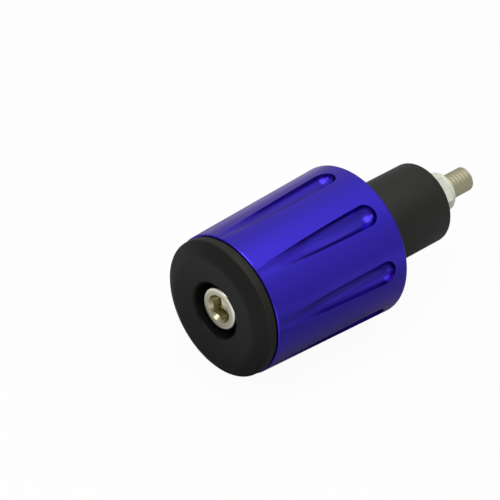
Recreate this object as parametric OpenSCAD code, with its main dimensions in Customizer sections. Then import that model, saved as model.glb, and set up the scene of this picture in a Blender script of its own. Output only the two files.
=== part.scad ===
// Bar end weight for a motorbike's handlebar, standing on the flat ring of its cap's face.
// One long screw holds the cap, the fluted sleeve and the rubber bush together: tightened against
// the nut it squeezes the bush, which swells and grips the inside of the handlebar tube.
// The Z axis is the axis of the screw, and the tube end is at the top.

/* [Cap] */
// Thickness of the cap in front of the sleeve
cap_t = 4.1; // [3.6:0.1:5]
// Diameter of the cap's straight edge band
cap_band_d = 31.2; // [30:0.1:32]
// Diameter of the cap's face
cap_face_d = 24.6; // [22:0.1:27]
// Width of the flat ring that the part stands on
cap_ring_w = 1; // [0.6:0.1:1.6]
// How far the face sinks from the flat ring to the recess
cap_dish = 0.5; // [0.1:0.05:0.8]
// Height of the sloped bevel around the face
cap_bevel_h = 1.9; // [1:0.1:2.3]
// Rounding of the cap's outer edges
cap_edge_r = 0.35; // [0.1:0.05:0.6]
// Wall of the boss around the screw head
cap_boss_wall = 2.5; // [2:0.1:3.5]
// Thickness of the floor under the screw head
cap_floor_t = 2.8; // [2:0.1:4]
// Chamfer around the mouth of the recess
cap_mouth_chamfer = 0.4; // [0.2:0.05:0.8]

/* [Sleeve] */
// Diameter of the sleeve where it meets the cap
sleeve_cap_d = 31.8; // [30.5:0.1:33]
// Diameter of the sleeve at the handlebar
sleeve_bar_d = 35; // [34:0.1:38]
// Length of the sleeve
sleeve_len = 36.6; // [32:0.1:44]
// Rounding of the edge at the handlebar
sleeve_edge_r = 0.5; // [0.2:0.05:1.2]
// Depth of the shallow seat that centres the bush
seat_depth = 0.7; // [0.5:0.1:2]

/* [Flutes] */
// Number of flutes
flute_count = 8; // [4:1:10]
// Diameter of the ball-nosed cutter
flute_cutter_d = 5.5; // [5:0.1:6.5]
// Depth of a flute at its deep end
flute_depth = 2; // [1.2:0.05:2.3]
// Land between the deep end and the end of the sleeve
flute_land = 3.5; // [2.5:0.1:6]
// Depth that is left of a flute where it runs out at the cap
flute_exit_depth = 0.05; // [0.05:0.01:0.4]

/* [Seam] */
// Width of the shadow groove that the cap has beside the sleeve
seam_groove_w = 0.5; // [0.3:0.05:0.8]
// Depth of the shadow groove below the cap's edge band
seam_groove_depth = 0.4; // [0.2:0.05:0.8]
// Chamfer of the sleeve's edge at the groove
seam_chamfer = 0.2; // [0.1:0.05:0.5]

/* [Screw] */
// Diameter of the screw
screw_d = 6; // [5:0.1:6.2]
// Length of the screw under its head
screw_len = 70; // [68:1:80]
// Chamfer at the screw's tip
tip_chamfer = 0.7; // [0.3:0.05:1]
// Diameter of the screw head
head_d = 9.8; // [9:0.1:11]
// Height of the screw head
head_h = 6; // [5:0.1:7]
// Rounding of the head's edge
head_edge_r = 0.5; // [0.2:0.05:1]
// Depth of the head below the cap's face
head_sink = 1.8; // [0.5:0.1:3]
// Width across the flats of the hexagon socket
socket_af = 5; // [4:0.1:5.6]
// Depth of the hexagon socket
socket_depth = 3; // [2:0.1:3.6]
// Chamfer around the socket's mouth, outside its corners
socket_chamfer = 0.35; // [0.1:0.05:0.6]
// Turn of the socket against the flutes
socket_turn = 13; // [0:1:59]

/* [Bush] */
// Diameter of the rubber bush
bush_d = 19; // [16:0.1:21]
// Length of the bush beyond the sleeve
bush_reach = 22.5; // [18:0.1:24]
// Rounding of the edges at both ends of the bush
bush_edge_r = 0.8; // [0.4:0.1:2]

/* [Washer and nut] */
// Diameter of the washer
washer_d = 12; // [11:0.1:14]
// Thickness of the washer
washer_t = 1.1; // [0.8:0.1:2]
// Width across the flats of the nut
nut_af = 10; // [9.4:0.1:11]
// Height of the nut
nut_h = 6; // [5.6:0.1:6.6]
// Height of the nut's hexagon, below its round collar
nut_hex_h = 3.9; // [3:0.1:4.1]
// Thickness of the collar's wall around the locking ring
collar_wall = 0.6; // [0.4:0.05:0.8]
// Width of the locking ring around the screw
ring_w = 1; // [0.7:0.05:1.2]
// Thickness of the locking ring
ring_t = 1.5; // [1:0.05:1.6]
// Width of the locking ring that the collar's lip leaves open
ring_show = 0.5; // [0.3:0.05:0.65]
// Rounding of the collar's outer edge
collar_edge_r = 1; // [0.4:0.1:1.2]
// Turn of the nut against the flutes
nut_turn = 41; // [0:1:59]

/* [Clearances] */
// Gap between the screw and the holes that it runs through
hole_gap = 0.2; // [0.1:0.05:0.4]
// Gap around the screw head in its recess
head_gap = 1.5; // [0.5:0.05:1.8]
// Gap around the cap's boss in the sleeve's pocket
boss_gap = 0.1; // [0.05:0.05:0.3]
// Gap between the end of the boss and the bottom of the pocket
pocket_gap = 0.3; // [0.1:0.05:0.6]
// Gap between the bush and the rim of its seat
seat_gap = 0.15; // [0.05:0.05:0.4]
// Gap between the thread's crests and the nut
thread_gap = 0.05; // [0.02:0.01:0.1]

/* [Hidden] */

fn_round = 96;
arc_steps = 5;
// Corner of a hexagon against its flat
hex_corner = 1 / cos(30);
// Slope of the chamfers that a nut gets on the lathe
nut_chamfer_angle = 30;
// Point angle of the drill that opens the socket, against its flat bottom
drill_angle = 30;
// How far a cutter reaches past the surface that it enters
pass = 1;

sleeve_z = cap_t;
bar_z = sleeve_z + sleeve_len;
head_z = head_sink + head_h;
boss_z = head_z + cap_floor_t;
bush_z = bar_z + bush_reach;
nut_z = bush_z + washer_t;
tip_z = head_z + screw_len;

hole_r = screw_d / 2 + hole_gap;
recess_r = head_d / 2 + head_gap;
boss_r = recess_r + cap_boss_wall;

// Arc that rounds the corner at b between the points a and c
function corner(a, b, c, r) =
    let (
        u = (a - b) / norm(a - b),
        v = (c - b) / norm(c - b),
        half = acos(u * v) / 2,
        centre = b + (u + v) / norm(u + v) * r / sin(half),
        from = b + u * r / tan(half) - centre,
        to = b + v * r / tan(half) - centre,
        start = atan2(from.y, from.x),
        turn = (atan2(to.y, to.x) - start + 540) % 360 - 180,
        angles = [for (i = [0 : arc_steps]) start + turn * i / arc_steps]
    )
    [for (angle = angles) centre + r * [cos(angle), sin(angle)]];

// Outline whose points are [x, y, rounding]
function rounded(points) = [
    for (i = [0 : len(points) - 1])
        let (
            a = points[(i + len(points) - 1) % len(points)],
            b = points[i],
            c = points[(i + 1) % len(points)]
        )
        each b[2] > 0 ? corner([a.x, a.y], [b.x, b.y], [c.x, c.y], b[2]) : [[b.x, b.y]]
];

// Turned solid from its half section: radius and height of each corner, and its rounding
module turned(section) rotate_extrude($fn = fn_round) polygon(rounded(section));

module hexagon(af, h) cylinder(d = af * hex_corner, h = h, $fn = 6);

// Radius of the sleeve's cone at a height
function cone_r(z) = (sleeve_cap_d + (sleeve_bar_d - sleeve_cap_d) * (z - sleeve_z) / sleeve_len) / 2;

// Turned cap: dished face, bevel, edge band and shadow groove, with a boss behind that holds the head
module end_cap() {
    band_r = cap_band_d / 2;
    groove_r = band_r - seam_groove_depth;
    groove_z = cap_t - seam_groove_w;
    color("#242424")
        turned([
            [hole_r, head_z, 0],
            [hole_r, boss_z, 0],
            [boss_r, boss_z, cap_edge_r],
            [boss_r, cap_t, 0],
            [groove_r, cap_t, 0],
            [groove_r, groove_z, 0],
            [band_r, groove_z, 0],
            [band_r, cap_bevel_h, cap_edge_r],
            [cap_face_d / 2, 0, cap_edge_r],
            [cap_face_d / 2 - cap_ring_w, 0, 0],
            [recess_r + cap_mouth_chamfer, cap_dish, 0],
            [recess_r, cap_dish + cap_mouth_chamfer, 0],
            [recess_r, head_z, 0],
        ]);
}

// Turned cone, drilled for the screw, with a pocket for the cap's boss and a seat for the bush
module sleeve_blank() {
    pocket_r = boss_r + boss_gap;
    pocket_z = boss_z + pocket_gap;
    seat_r = bush_d / 2 + seat_gap;
    turned([
        [pocket_r, sleeve_z, 0],
        [sleeve_cap_d / 2 - seam_chamfer, sleeve_z, 0],
        [cone_r(sleeve_z + seam_chamfer), sleeve_z + seam_chamfer, 0],
        [sleeve_bar_d / 2, bar_z, sleeve_edge_r],
        [seat_r, bar_z, 0],
        [seat_r, bar_z - seat_depth, 0],
        [hole_r, bar_z - seat_depth, 0],
        [hole_r, pocket_z, 0],
        [pocket_r, pocket_z, 0],
    ]);
}

// Path of a ball-nosed cutter: a round groove that ends in a ball at the origin and runs down Z
module ball_groove(r, len) {
    rotate_extrude($fn = fn_round)
        intersection() {
            union() {
                circle(r = r, $fn = fn_round);
                translate([0, -len]) square([r, len]);
            }
            translate([0, -len]) square([r, len + r]);
        }
}

// One flute: the cutter dives in near the handlebar and runs straight out of the cone at the cap
module flute() {
    r = flute_cutter_d / 2;
    half_width = sqrt(r * r - pow(r - flute_depth, 2));
    end_z = bar_z - flute_land - half_width;
    end_r = cone_r(end_z) + r - flute_depth;
    exit_r = cone_r(sleeve_z) + r - flute_exit_depth;
    lean = atan((end_r - exit_r) / (end_z - sleeve_z));
    translate([end_r, 0, end_z]) rotate([0, lean, 0]) ball_groove(r, end_z - sleeve_z + pass);
}

module sleeve() {
    pitch = 360 / flute_count;
    color("#3a22b8")
        difference() {
            // The turned faces start and end between two flutes
            rotate([0, 0, pitch / 2]) sleeve_blank();
            for (i = [0 : flute_count - 1]) rotate([0, 0, i * pitch]) flute();
        }
}

// Socket head cap screw, its head at the bottom and its tip at the top
module cap_screw() {
    flat_r = socket_af / 2;
    mouth_r = flat_r * hex_corner + socket_chamfer;
    floor_z = head_sink + socket_depth;
    cone_end_r = flat_r - socket_chamfer;
    cone_end_z = head_sink + mouth_r - cone_end_r;
    color("#b9b6a6")
        difference() {
            turned([
                [0, head_sink, 0],
                [head_d / 2, head_sink, head_edge_r],
                [head_d / 2, head_z, 0],
                [screw_d / 2, head_z, 0],
                [screw_d / 2, tip_z - tip_chamfer, 0],
                [screw_d / 2 - tip_chamfer, tip_z, 0],
                [0, tip_z, 0],
            ]);
            translate([0, 0, head_sink - pass])
                rotate([0, 0, socket_turn]) hexagon(socket_af, socket_depth + pass);
            turned([
                [0, head_sink - pass, 0],
                [mouth_r + pass, head_sink - pass, 0],
                [cone_end_r, cone_end_z, 0],
                [0, cone_end_z, 0],
            ]);
            turned([
                [0, floor_z - pass, 0],
                [flat_r, floor_z - pass, 0],
                [flat_r, floor_z, 0],
                [0, floor_z + flat_r * tan(drill_angle), 0],
            ]);
        }
}

// Rubber bush that swells in the handlebar tube
module rubber_bush() {
    color("#2b2b29")
        turned([
            [hole_r, bar_z - seat_depth, 0],
            [bush_d / 2, bar_z - seat_depth, bush_edge_r],
            [bush_d / 2, bush_z, bush_edge_r],
            [hole_r, bush_z, 0],
        ]);
}

// Flat washer that spreads the nut's pull over the rubber
module washer() {
    color("#c8cdbe")
        turned([
            [hole_r, bush_z, 0],
            [washer_d / 2, bush_z, 0],
            [washer_d / 2, nut_z, 0],
            [hole_r, nut_z, 0],
        ]);
}

// Lock nut: a hexagon chamfered on the lathe, and a round collar rolled over the locking ring
module lock_nut() {
    ring_r = screw_d / 2 + ring_w;
    collar_r = ring_r + collar_wall;
    flat_r = nut_af / 2;
    corner_r = flat_r * hex_corner;
    drop = (corner_r - flat_r) * tan(nut_chamfer_angle);
    bore_r = screw_d / 2 + thread_gap;
    lip_r = screw_d / 2 + ring_show;
    ring_z = nut_z + nut_hex_h;
    color("#ccd0c4")
        difference() {
            union() {
                intersection() {
                    translate([0, 0, nut_z]) rotate([0, 0, nut_turn]) hexagon(nut_af, nut_hex_h);
                    turned([
                        [0, nut_z, 0],
                        [flat_r, nut_z, 0],
                        [corner_r, nut_z + drop, 0],
                        [corner_r, nut_z + nut_hex_h - drop, 0],
                        [flat_r, nut_z + nut_hex_h, 0],
                        [0, nut_z + nut_hex_h, 0],
                    ]);
                }
                turned([
                    [0, nut_z, 0],
                    [collar_r, nut_z, 0],
                    [collar_r, nut_z + nut_h, collar_edge_r],
                    [0, nut_z + nut_h, 0],
                ]);
            }
            turned([
                [0, nut_z - pass, 0],
                [bore_r, nut_z - pass, 0],
                [bore_r, ring_z, 0],
                [ring_r, ring_z, 0],
                [ring_r, ring_z + ring_t, 0],
                [lip_r, ring_z + ring_t, 0],
                [lip_r, nut_z + nut_h + pass, 0],
                [0, nut_z + nut_h + pass, 0],
            ]);
        }
}

// Nylon ring that the collar holds, and that grips the thread
module nut_ring() {
    color("#e6e4d8")
        translate([0, 0, nut_z + nut_hex_h])
            difference() {
                cylinder(r = screw_d / 2 + ring_w, h = ring_t, $fn = fn_round);
                translate([0, 0, -pass]) cylinder(d = screw_d, h = ring_t + 2 * pass, $fn = fn_round);
            }
}

end_cap();
sleeve();
cap_screw();
rubber_bush();
washer();
lock_nut();
nut_ring();
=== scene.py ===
import math

import bmesh
import bpy
from mathutils import Matrix, Quaternion, Vector


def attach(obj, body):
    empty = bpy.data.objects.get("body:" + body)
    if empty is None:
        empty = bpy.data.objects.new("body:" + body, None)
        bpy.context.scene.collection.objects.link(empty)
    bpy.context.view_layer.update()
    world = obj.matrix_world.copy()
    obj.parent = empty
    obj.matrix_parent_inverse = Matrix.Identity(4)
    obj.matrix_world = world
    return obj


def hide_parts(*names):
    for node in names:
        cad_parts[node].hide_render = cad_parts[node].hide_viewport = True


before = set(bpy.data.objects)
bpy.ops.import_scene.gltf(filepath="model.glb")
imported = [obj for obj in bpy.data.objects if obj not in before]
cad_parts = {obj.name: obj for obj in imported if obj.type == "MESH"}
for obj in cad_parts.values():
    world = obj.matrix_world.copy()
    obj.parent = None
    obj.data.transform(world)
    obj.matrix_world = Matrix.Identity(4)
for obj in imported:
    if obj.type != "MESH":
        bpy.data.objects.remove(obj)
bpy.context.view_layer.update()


# Fluted sleeve
# One piece of aluminium, turned to a gentle cone, cut with eight ball-ended flutes that run
# out at the cap, then blasted fine and anodised violet. The long screw clamps it in place.


class Wire:
    """A number on its way through a finish: arithmetic on it adds the Math nodes."""

    def __init__(self, finish, socket):
        self.finish = finish
        self.socket = socket

    def maths(self, operation, first, second):
        return self.finish.node("ShaderNodeMath", {"operation": operation}, {0: first, 1: second})

    def __add__(self, other):
        return self.maths("ADD", self, other)

    __radd__ = __add__

    def __sub__(self, other):
        return self.maths("SUBTRACT", self, other)

    def __rsub__(self, other):
        return self.maths("SUBTRACT", other, self)

    def __mul__(self, other):
        return self.maths("MULTIPLY", self, other)

    __rmul__ = __mul__


class Finish:
    """The material of one surface, built up node by node."""

    def __init__(self, material):
        self.material = material
        material.use_nodes = True
        self.tree = material.node_tree
        self.tree.nodes.clear()

    def node(self, kind, settings=(), values=(), output=0):
        made = self.tree.nodes.new(kind)
        for name, setting in dict(settings).items():
            if name == "stops":
                ramp = made.color_ramp
                for place, colour in setting[1:-1]:
                    ramp.elements.new(place)
                for element, (place, colour) in zip(ramp.elements, setting):
                    element.position = place
                    element.color = colour
            else:
                setattr(made, name, setting)
        for name, value in dict(values).items():
            if isinstance(value, Wire):
                self.tree.links.new(value.socket, made.inputs[name])
            else:
                made.inputs[name].default_value = value
        return Wire(self, made.outputs[output])

    def end(self, shader, kind="ShaderNodeOutputMaterial"):
        """Joins the last shader to the output."""
        output = self.tree.nodes.new(kind)
        self.tree.links.new(shader.socket, output.inputs["Surface"])

    def surface(self, values):
        self.end(self.node("ShaderNodeBsdfPrincipled", (), values))

    def place(self):
        return self.node("ShaderNodeTexCoord", output="Object")

    def height(self):
        """Height along the screw's axis, in metres."""
        return self.node("ShaderNodeSeparateXYZ", (), {"Vector": self.place()}, "Z")

    def reach(self):
        """Distance from the screw's axis, in metres."""
        across = self.node("ShaderNodeVectorMath", {"operation": "MULTIPLY"}, {0: self.place(), 1: (1, 1, 0)})
        return self.node("ShaderNodeVectorMath", {"operation": "LENGTH"}, {0: across}, "Value")

    def span(self, value, low, high, start, end):
        """Goes from start to end while the value goes from low to high, and stays there beyond."""
        return self.node("ShaderNodeMapRange", (), {0: value, 1: low, 2: high, 3: start, 4: end})

    def blend(self, weight, first, second):
        """Goes from the first colour to the second while the weight goes from 0 to 1."""
        ends = {6: first, 7: second}
        full = {key: colour if isinstance(colour, Wire) else (*colour, 1) for key, colour in ends.items()}
        return self.node("ShaderNodeMix", {"data_type": "RGBA"}, {0: weight, **full}, 2)

    def grain(self, size, detail=2.0):
        """Noise from 0 to 1 whose features are about this large, in metres."""
        values = {"Vector": self.place(), "Scale": 1 / size, "Detail": detail}
        return self.node("ShaderNodeTexNoise", {"noise_dimensions": "3D"}, values)

    def relief(self, height, depth):
        """Bumps this deep, in metres, where the height goes from 0 to 1."""
        return self.node("ShaderNodeBump", (), {"Height": height, "Distance": depth, "Strength": 1.0})


def turned(section, steps=192):
    """Lathe work: a half section of (radius, height) corners, in millimetres, spun round the screw's axis."""
    shape = bmesh.new()
    corners = [shape.verts.new((radius / 1000, 0, height / 1000)) for radius, height in section]
    closed = section[0][0] > 0
    for a, b in zip(corners, corners[1:] + corners[:1] if closed else corners[1:]):
        shape.edges.new((a, b))
    bmesh.ops.spin(
        shape, geom=shape.verts[:] + shape.edges[:], cent=(0, 0, 0), axis=(0, 0, 1), angle=math.tau,
        steps=steps, use_merge=True,
    )
    bmesh.ops.remove_doubles(shape, verts=shape.verts[:], dist=1e-6)
    bmesh.ops.recalc_face_normals(shape, faces=shape.faces[:])
    return shape


def round_rim(shape, radius, height, width, segments=4):
    """Rounds the turned edge at that radius and height, in millimetres."""
    def on_rim(vertex):
        return (
            abs(math.hypot(vertex.co.x, vertex.co.y) - radius / 1000) < 2e-6
            and abs(vertex.co.z - height / 1000) < 2e-6
        )

    rim = [edge for edge in shape.edges if all(on_rim(vertex) for vertex in edge.verts)]
    bmesh.ops.bevel(
        shape, geom=rim, offset=width / 1000, offset_type="OFFSET", segments=segments, profile=0.5,
        affect="EDGES", material=-1, clamp_overlap=False,
    )


def loose(shape, name):
    """The shape as an object of its own."""
    mesh = bpy.data.meshes.new(name)
    shape.to_mesh(mesh)
    shape.free()
    made = bpy.data.objects.new(name, mesh)
    bpy.context.scene.collection.objects.link(made)
    return made


def carve(piece, knife, operation="DIFFERENCE"):
    """Cuts the knife out of the piece, joins both or keeps what both share, and takes the knife away."""
    modifier = piece.modifiers.new("carve", "BOOLEAN")
    modifier.operation = operation
    modifier.solver = "EXACT"
    modifier.object = knife
    bpy.context.view_layer.update()
    carved = bpy.data.meshes.new_from_object(piece.evaluated_get(bpy.context.evaluated_depsgraph_get()))
    piece.modifiers.clear()
    piece.data = carved
    bpy.data.objects.remove(knife)


def finish_piece(piece, finish, nodes, crease=30):
    """Smooth surfaces with sharp edges, a material, and its place on the part."""
    piece.data.shade_smooth()
    piece.data.set_sharp_from_angle(angle=math.radians(crease))
    piece.data.materials.clear()
    piece.data.materials.append(finish.material)
    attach(piece, "root")
    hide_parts(*nodes)


cap_end, bar_end = 4.1, 40.7
cap_end_r, bar_end_r = 15.9, 17.5
cap_end_chamfer = 0.2
bore_r = 3.2
pocket_r, pocket_floor = 9, 10.9
seat_r, seat_floor = 9.65, 40
taper = (bar_end_r - cap_end_r) / (bar_end - cap_end)


def cone_radius(height):
    return cap_end_r + taper * (height - cap_end)


ring_count = 48
cone_start = cap_end + cap_end_chamfer
ring_heights = [cone_start + (bar_end - cone_start) * i / ring_count for i in range(ring_count + 1)]
blank = turned([
    (pocket_r, cap_end), (cap_end_r - cap_end_chamfer, cap_end),
    *[(cone_radius(height), height) for height in ring_heights],
    (seat_r, bar_end), (seat_r, seat_floor), (bore_r, seat_floor), (bore_r, pocket_floor), (pocket_r, pocket_floor),
], 288)
round_rim(blank, bar_end_r, bar_end, 0.5)
sleeve = loose(blank, "fluted_sleeve")

# The ball cutter dives in near the handlebar and leaves the cone at the cap
flute_count = 8
cutter_radius = 2.75
flute_depth, exit_depth = 2.0, 0.05
flute_land = 3.5
groove_foot = 3.0
half_width = math.sqrt(cutter_radius**2 - (cutter_radius - flute_depth) ** 2)
end_height = bar_end - flute_land - half_width
end_radius = cone_radius(end_height) + cutter_radius - flute_depth
exit_radius = cap_end_r + cutter_radius - exit_depth
lean = math.atan((end_radius - exit_radius) / (end_height - cap_end))
ball_steps = 16
ball_angles = [math.pi / 2 * i / ball_steps for i in range(1, ball_steps + 1)]
groove = [
    (0, cutter_radius),
    *[(cutter_radius * math.sin(a), cutter_radius * math.cos(a)) for a in ball_angles],
    (cutter_radius, groove_foot - end_height), (0, groove_foot - end_height),
]
for i in range(flute_count):
    flute = turned(groove, 64)
    turn = Matrix.Rotation(math.tau * i / flute_count, 3, "Z")
    bmesh.ops.rotate(flute, verts=flute.verts[:], cent=(0, 0, 0), matrix=Matrix.Rotation(lean, 3, "Y"))
    bmesh.ops.translate(flute, verts=flute.verts[:], vec=(end_radius / 1000, 0, end_height / 1000))
    bmesh.ops.rotate(flute, verts=flute.verts[:], cent=(0, 0, 0), matrix=turn)
    carve(sleeve, loose(flute, "flute"))

# Painted shade: the violet is painted darker on a flute's walls and a little darker along its bottom, which see less
# light than the outside of the cone
violet_dye = (0.042, 0.019, 0.69)
flute_bottom_painted_shade = (0.023, 0.01, 0.42)
flute_wall_painted_shade = (0.01, 0, 0.15)
violet = Finish(bpy.data.materials.new("violet_anodising"))
violet_grain = violet.grain(0.0004)
sleeve_height = violet.height()
cut = cap_end_r / 1000 + (sleeve_height - cap_end / 1000) * taper - violet.reach()
deepest = violet.span(sleeve_height, cap_end / 1000, end_height / 1000, exit_depth / 1000, flute_depth / 1000)
# Masks of a flute's walls and bottom, where the painted shade goes into the violet
wall = violet.span(cut, 0.00001, 0.00006, 0, 1) * violet.span(deepest, 0.0003, 0.0009, 0, 0.9)
wall = wall * violet.span(cut - 0.35 * deepest, 0, 0.0006, 1, 0)
bottom = violet.span(cut, 0.0009, 0.0019, 0, 0.6)
violet.surface({
    "Base Color": violet.blend(wall, violet.blend(bottom, violet_dye, flute_bottom_painted_shade), flute_wall_painted_shade),
    "Metallic": 1.0,
    # Painted reflection: the grazing reflections are tinted violet, standing for violet light from a second violet
    # weight lying nearby
    "Specular Tint": (1, 0.8, 1, 1),
    "Roughness": 0.26 + 0.06 * violet_grain,
    "Coat Weight": 0.7 - 0.7 * wall,
    "Coat Roughness": 0.25,
    "Coat IOR": 1.4,
    "Normal": violet.relief(violet_grain, 0.00002),
})
finish_piece(sleeve, violet, ["sleeve"])


# End cap
# The black cap is turned from aluminium, with a shallow dished face, a bevel and a recess for
# the screw's head. Its boss sits in the sleeve's pocket, and the screw pulls it tight.

face_r, ring_inner_r = 12.3, 11.3
dish = 0.5
recess_r, recess_chamfer = 6.4, 0.4
head_seat = 7.8
boss_r, boss_end = 8.9, 10.6
band_r, band_edge = 15.6, 1.9
groove_r, groove_edge = 15.2, 3.6
cap_shape = turned([
    (bore_r, head_seat), (bore_r, boss_end), (boss_r, boss_end), (boss_r, cap_end),
    (groove_r, cap_end), (groove_r, groove_edge), (band_r, groove_edge), (band_r, band_edge),
    (face_r, 0), (ring_inner_r, 0),
    (recess_r + recess_chamfer, dish), (recess_r, dish + recess_chamfer), (recess_r, head_seat),
], 256)
round_rim(cap_shape, face_r, 0, 0.5)
round_rim(cap_shape, band_r, band_edge, 0.3)
round_rim(cap_shape, recess_r + recess_chamfer, dish, 0.2)
round_rim(cap_shape, recess_r, dish + recess_chamfer, 0.2)
cap = loose(cap_shape, "end_cap_turned")

# The edge band is painted a little lighter and browner than the face, a painted highlight where the band catches the
# light from above
face_black = (0.005, 0.005, 0.0045)
band_painted_highlight = (0.02, 0.017, 0.013)
black = Finish(bpy.data.materials.new("black_anodising"))
black_grain = black.grain(0.0003)
band = black.span(black.height(), 0.0017, 0.002, 0, 1) * black.span(black.reach(), 0.0149, 0.0151, 0, 1)
black.surface({
    "Base Color": black.blend(band, face_black, band_painted_highlight),
    "Roughness": 0.42 + 0.1 * black_grain,
    "Specular IOR Level": 0.2,
    "Normal": black.relief(black_grain, 0.00001),
})
finish_piece(cap, black, ["end_cap"])


# Cap screw
# A stock stainless steel socket head screw, M6 by 70 mm, cold headed and rolled. Its head
# sits in the cap's recess, and its threaded end comes through the nut behind the bush.

head_face, head_r = 1.8, 4.9
shank_r = 3
core_r = 2.82
thread_start = 53.5
tip, tip_cone_start, tip_r = 77.8, 77.3, 2.35
screw_shape = turned([
    (0, head_face), (head_r, head_face), (head_r, head_seat), (shank_r, head_seat),
    (shank_r, thread_start - 0.1), (core_r, thread_start + 0.3), (core_r, tip_cone_start), (tip_r, tip), (0, tip),
], 128)
round_rim(screw_shape, head_r, head_face, 0.5)
screw = loose(screw_shape, "socket_head_screw")

# The hexagon socket, the cone of its mouth and the drill's point at its floor
flat_r = 2.5
socket_turn = 13
socket_floor, drill_point = 4.8, 6.243
mouth_r, mouth_end_r = 3.237, 2.15
overrun = 1
socket_corner = flat_r / 1000 / math.cos(math.pi / 6)
socket_length = (socket_floor - head_face + overrun) / 1000
hexagon = bmesh.new()
bmesh.ops.create_cone(
    hexagon, cap_ends=True, segments=6, radius1=socket_corner, radius2=socket_corner, depth=socket_length,
)
socket_rotation = Matrix.Rotation(math.radians(socket_turn - 90), 3, "Z")
bmesh.ops.rotate(hexagon, verts=hexagon.verts[:], cent=(0, 0, 0), matrix=socket_rotation)
bmesh.ops.translate(hexagon, verts=hexagon.verts[:], vec=(0, 0, socket_floor / 1000 - socket_length / 2))
carve(screw, loose(hexagon, "socket"))
mouth_depth = head_face + mouth_r - mouth_end_r
carve(screw, loose(turned([
    (0, head_face - overrun), (mouth_r + overrun, head_face - overrun), (mouth_end_r, mouth_depth), (0, mouth_depth),
], 64), "mouth"))
carve(screw, loose(turned([
    (0, socket_floor - overrun), (flat_r, socket_floor - overrun), (flat_r, socket_floor), (0, drill_point),
], 64), "drill"))

# The thread is one ridge that climbs a pitch with each turn, trimmed to the screw's tip
pitch = 1
thread_turns = 25
steps_per_turn = 48
crest_r, root_r, buried_r = 2.88, 2.81, 2.5
crest_half, root_half = 0.12, 0.46
trim_cone_start, trim_tip_r = 77.25, 2.4
ridge = bmesh.new()
ridge_corners = [ridge.verts.new((radius / 1000, 0, (thread_start + along) / 1000)) for radius, along in (
    (buried_r, -root_half), (root_r, -root_half), (crest_r, -crest_half),
    (crest_r, crest_half), (root_r, root_half), (buried_r, root_half),
)]
ridge_start = ridge.faces.new(ridge_corners)
bmesh.ops.spin(
    ridge, geom=[ridge_start, *ridge_start.edges, *ridge_start.verts], cent=(0, 0, 0), axis=(0, 0, 1),
    dvec=(0, 0, pitch / 1000 / steps_per_turn), angle=math.tau * thread_turns, steps=steps_per_turn * thread_turns,
)
bmesh.ops.holes_fill(ridge, edges=ridge.edges[:], sides=0)
bmesh.ops.recalc_face_normals(ridge, faces=ridge.faces[:])
thread = loose(ridge, "thread")
trim = turned([
    (0, thread_start), (shank_r, thread_start), (shank_r, trim_cone_start), (trim_tip_r, tip), (0, tip),
], 96)
carve(thread, loose(trim, "blank"), "INTERSECT")
carve(screw, thread, "UNION")

# The rim is painted brighter than the flat, a painted highlight, and the socket is painted darker, a painted shade;
# the shank is a duller steel
flat_steel = (0.62, 0.59, 0.44)
rim_painted_highlight = (0.84, 0.82, 0.72)
shank_steel = (0.56, 0.53, 0.37)
socket_painted_shade = (0.46, 0.43, 0.29)
stainless = Finish(bpy.data.materials.new("stainless_steel"))
screw_height = stainless.height()
screw_reach = stainless.reach()
to_rim = stainless.span(screw_reach, 0.004, 0.0043, 0, 1)
to_shank = stainless.span(screw_height, 0.01, 0.06, 0, 1)
below_face = stainless.span(screw_height, 0.00181, 0.0019, 0, 1)
above_floor = stainless.span(screw_height, 0.0047, 0.00475, 1, 0)
in_socket = below_face * above_floor * stainless.span(screw_reach, 0.0033, 0.0034, 1, 0)
outside_steel = stainless.blend(to_shank, stainless.blend(to_rim, flat_steel, rim_painted_highlight), shank_steel)
stainless.surface({
    "Base Color": stainless.blend(in_socket, outside_steel, socket_painted_shade),
    "Metallic": 1.0,
    "Roughness": stainless.span(screw_height, 0.01, 0.06, 0.24, 0.5),
})
finish_piece(screw, stainless, ["cap_screw"])


# Rubber bush
# A black rubber sleeve, moulded with both ends rounded. It sits in the sleeve's shallow
# seat, and the nut squeezes it until it grips the inside of the handlebar tube.

bush_r, bush_end = 9.5, 63.2
bush_rounding = 0.8
bush_shape = turned([(bore_r, seat_floor), (bush_r, seat_floor), (bush_r, bush_end), (bore_r, bush_end)], 192)
round_rim(bush_shape, bush_r, seat_floor, bush_rounding, 6)
round_rim(bush_shape, bush_r, bush_end, bush_rounding, 6)
bush = loose(bush_shape, "rubber_bush_moulded")
rubber = Finish(bpy.data.materials.new("black_rubber"))
rubber_grain = rubber.grain(0.0005)
rubber.surface({
    "Base Color": (0.008, 0.008, 0.006, 1),
    "Roughness": 0.46 + 0.1 * rubber_grain,
    "Specular IOR Level": 0.45,
    "Normal": rubber.relief(rubber_grain, 0.00002),
})
finish_piece(bush, rubber, ["rubber_bush"])


# Washer and lock nut
# A plain washer and an M6 lock nut, both steel with bright zinc plating. The nut's collar
# is rolled over a nylon ring that grips the thread, so the clamp can't shake loose.


def smoothed(node):
    """A copy of a part's solid with its triangles joined, so that its curves can be shaded smooth."""
    shape = bmesh.new()
    shape.from_mesh(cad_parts[node].data)
    bmesh.ops.remove_doubles(shape, verts=shape.verts[:], dist=1e-6)
    return loose(shape, node + "_smooth")


zinc = Finish(bpy.data.materials.new("zinc_plating"))
zinc.surface({"Base Color": (0.84, 0.88, 0.72, 1), "Metallic": 0.2, "Roughness": 0.45})
nylon = Finish(bpy.data.materials.new("nylon"))
nylon.surface({"Base Color": (0.72, 0.72, 0.64, 1), "Roughness": 0.5})
finish_piece(smoothed("washer"), zinc, ["washer"])
finish_piece(smoothed("lock_nut"), zinc, ["lock_nut"], 20)
finish_piece(smoothed("nut_ring"), nylon, ["nut_ring"])


# Table top and surroundings
# The weight lies on its side on a white table in an even white surrounding. The table is
# seen only from above, so that a look from below isn't blocked.

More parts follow.
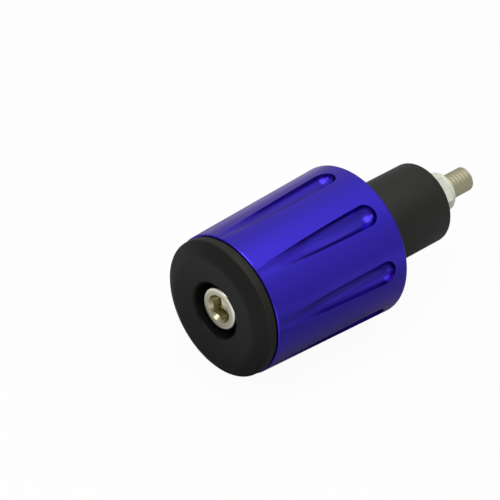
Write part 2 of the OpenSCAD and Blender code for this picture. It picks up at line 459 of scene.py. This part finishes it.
down = Vector((-0.8, 0.6, 0))
table_drop = 0.0177
table_middle = Vector((0, 0, 0.03))
table_shape = bmesh.new()
table_turn = (-down).to_track_quat("Z", "Y").to_matrix()
bmesh.ops.create_grid(table_shape, x_segments=1, y_segments=1, size=0.9)
bmesh.ops.transform(table_shape, matrix=table_turn, verts=table_shape.verts[:])
bmesh.ops.translate(table_shape, verts=table_shape.verts[:], vec=down * table_drop + table_middle)
table = loose(table_shape, "table_top")

# The camera sees the table white; reflections see it with painted shade, grey beside the part where its shadow
# falls, and paler beyond its ends
top = Finish(bpy.data.materials.new("table_white"))
seen = top.node("ShaderNodeLightPath", output="Is Camera Ray")
along = top.height()
table_painted_shade = top.span(along, -0.04, 0, 0.95, 0.25) + top.span(along, 0.05, 0.1, 0, 0.28)
shade = top.node("ShaderNodeMix", {"data_type": "FLOAT"}, {0: seen, 2: table_painted_shade, 3: 0.8})
paper = top.node("ShaderNodeBsdfDiffuse", (), {"Color": shade})
glow = top.node("ShaderNodeEmission", (), {"Color": (1, 1, 1, 1), "Strength": 1.0})
lit = top.node("ShaderNodeMixShader", (), {0: 0.95 * seen, 1: paper, 2: glow})
clear = top.node("ShaderNodeBsdfTransparent")
behind = top.node("ShaderNodeNewGeometry", output="Backfacing")
top.end(top.node("ShaderNodeMixShader", (), {0: behind, 1: lit, 2: clear}))
table.data.materials.append(top.material)

# The room lights the part more from above than from below, and the camera sees it white
world = bpy.data.worlds.new("white_room")
bpy.context.scene.world = world
room = Finish(world)
room_seen = room.node("ShaderNodeLightPath", output="Is Camera Ray")
direction = room.node("ShaderNodeTexCoord", output="Generated")
upward = room.node("ShaderNodeVectorMath", {"operation": "DOT_PRODUCT"}, {0: direction, 1: -down}, "Value")
greys = [(0.0, 0.1), (0.45, 0.3), (0.7, 0.45), (1.0, 0.6)]
stops = [(place, (grey, grey, grey, 1)) for place, grey in greys]
room_grey = room.node("ShaderNodeValToRGB", {"stops": stops}, {0: 0.5 + 0.5 * upward})
room_strength = room.node("ShaderNodeMix", {"data_type": "FLOAT"}, {0: room_seen, 2: room_grey, 3: 1.0})
room_glow = room.node("ShaderNodeBackground", (), {"Color": (1, 1, 1, 1), "Strength": room_strength})
room.end(room_glow, "ShaderNodeOutputWorld")


# Camera and lamps
# A long lens looks down on the cap from the front, as in the photograph. A large soft lamp
# hangs above, and a small weak one at the left puts the glint on the edge of the socket.

camera_place = Vector((0.41294, 0.07019, -0.27554))
azimuth, elevation, roll = math.radians(10.7392), math.radians(-34.8270), math.radians(62.6443)
camera = bpy.data.objects.new("camera", bpy.data.cameras.new("camera"))
bpy.context.scene.collection.objects.link(camera)
camera.data.lens = 172.8
camera.data.sensor_width = 36
backward = Vector((
    math.cos(elevation) * math.cos(azimuth), math.cos(elevation) * math.sin(azimuth), math.sin(elevation),
))
camera_turn = backward.to_track_quat("Z", "Y") @ Quaternion((0, 0, 1), roll)
camera.matrix_world = Matrix.Translation(camera_place) @ camera_turn.to_matrix().to_4x4()
bpy.context.scene.camera = camera


def lamp(name, right, up, back, size, power):
    """A square lamp in that direction from the middle of the part, as the camera sees it, facing it."""
    light = bpy.data.lights.new(name, "AREA")
    light.shape = "SQUARE"
    light.size = size
    light.energy = power
    made = bpy.data.objects.new(name, light)
    bpy.context.scene.collection.objects.link(made)
    part_middle = Vector((0, 0, 0.035))
    away = camera_turn @ Vector((right, up, back))
    facing = away.to_track_quat("Z", "Y").to_matrix().to_4x4()
    made.matrix_world = Matrix.Translation(part_middle + away) @ facing


lamp("key_lamp", 0.06, 0.72, 0.69, 1.0, 5.5)
lamp("side_lamp", -0.62, 0.32, 0.72, 0.3, 1.0)

bpy.context.scene.view_settings.view_transform = "Standard"
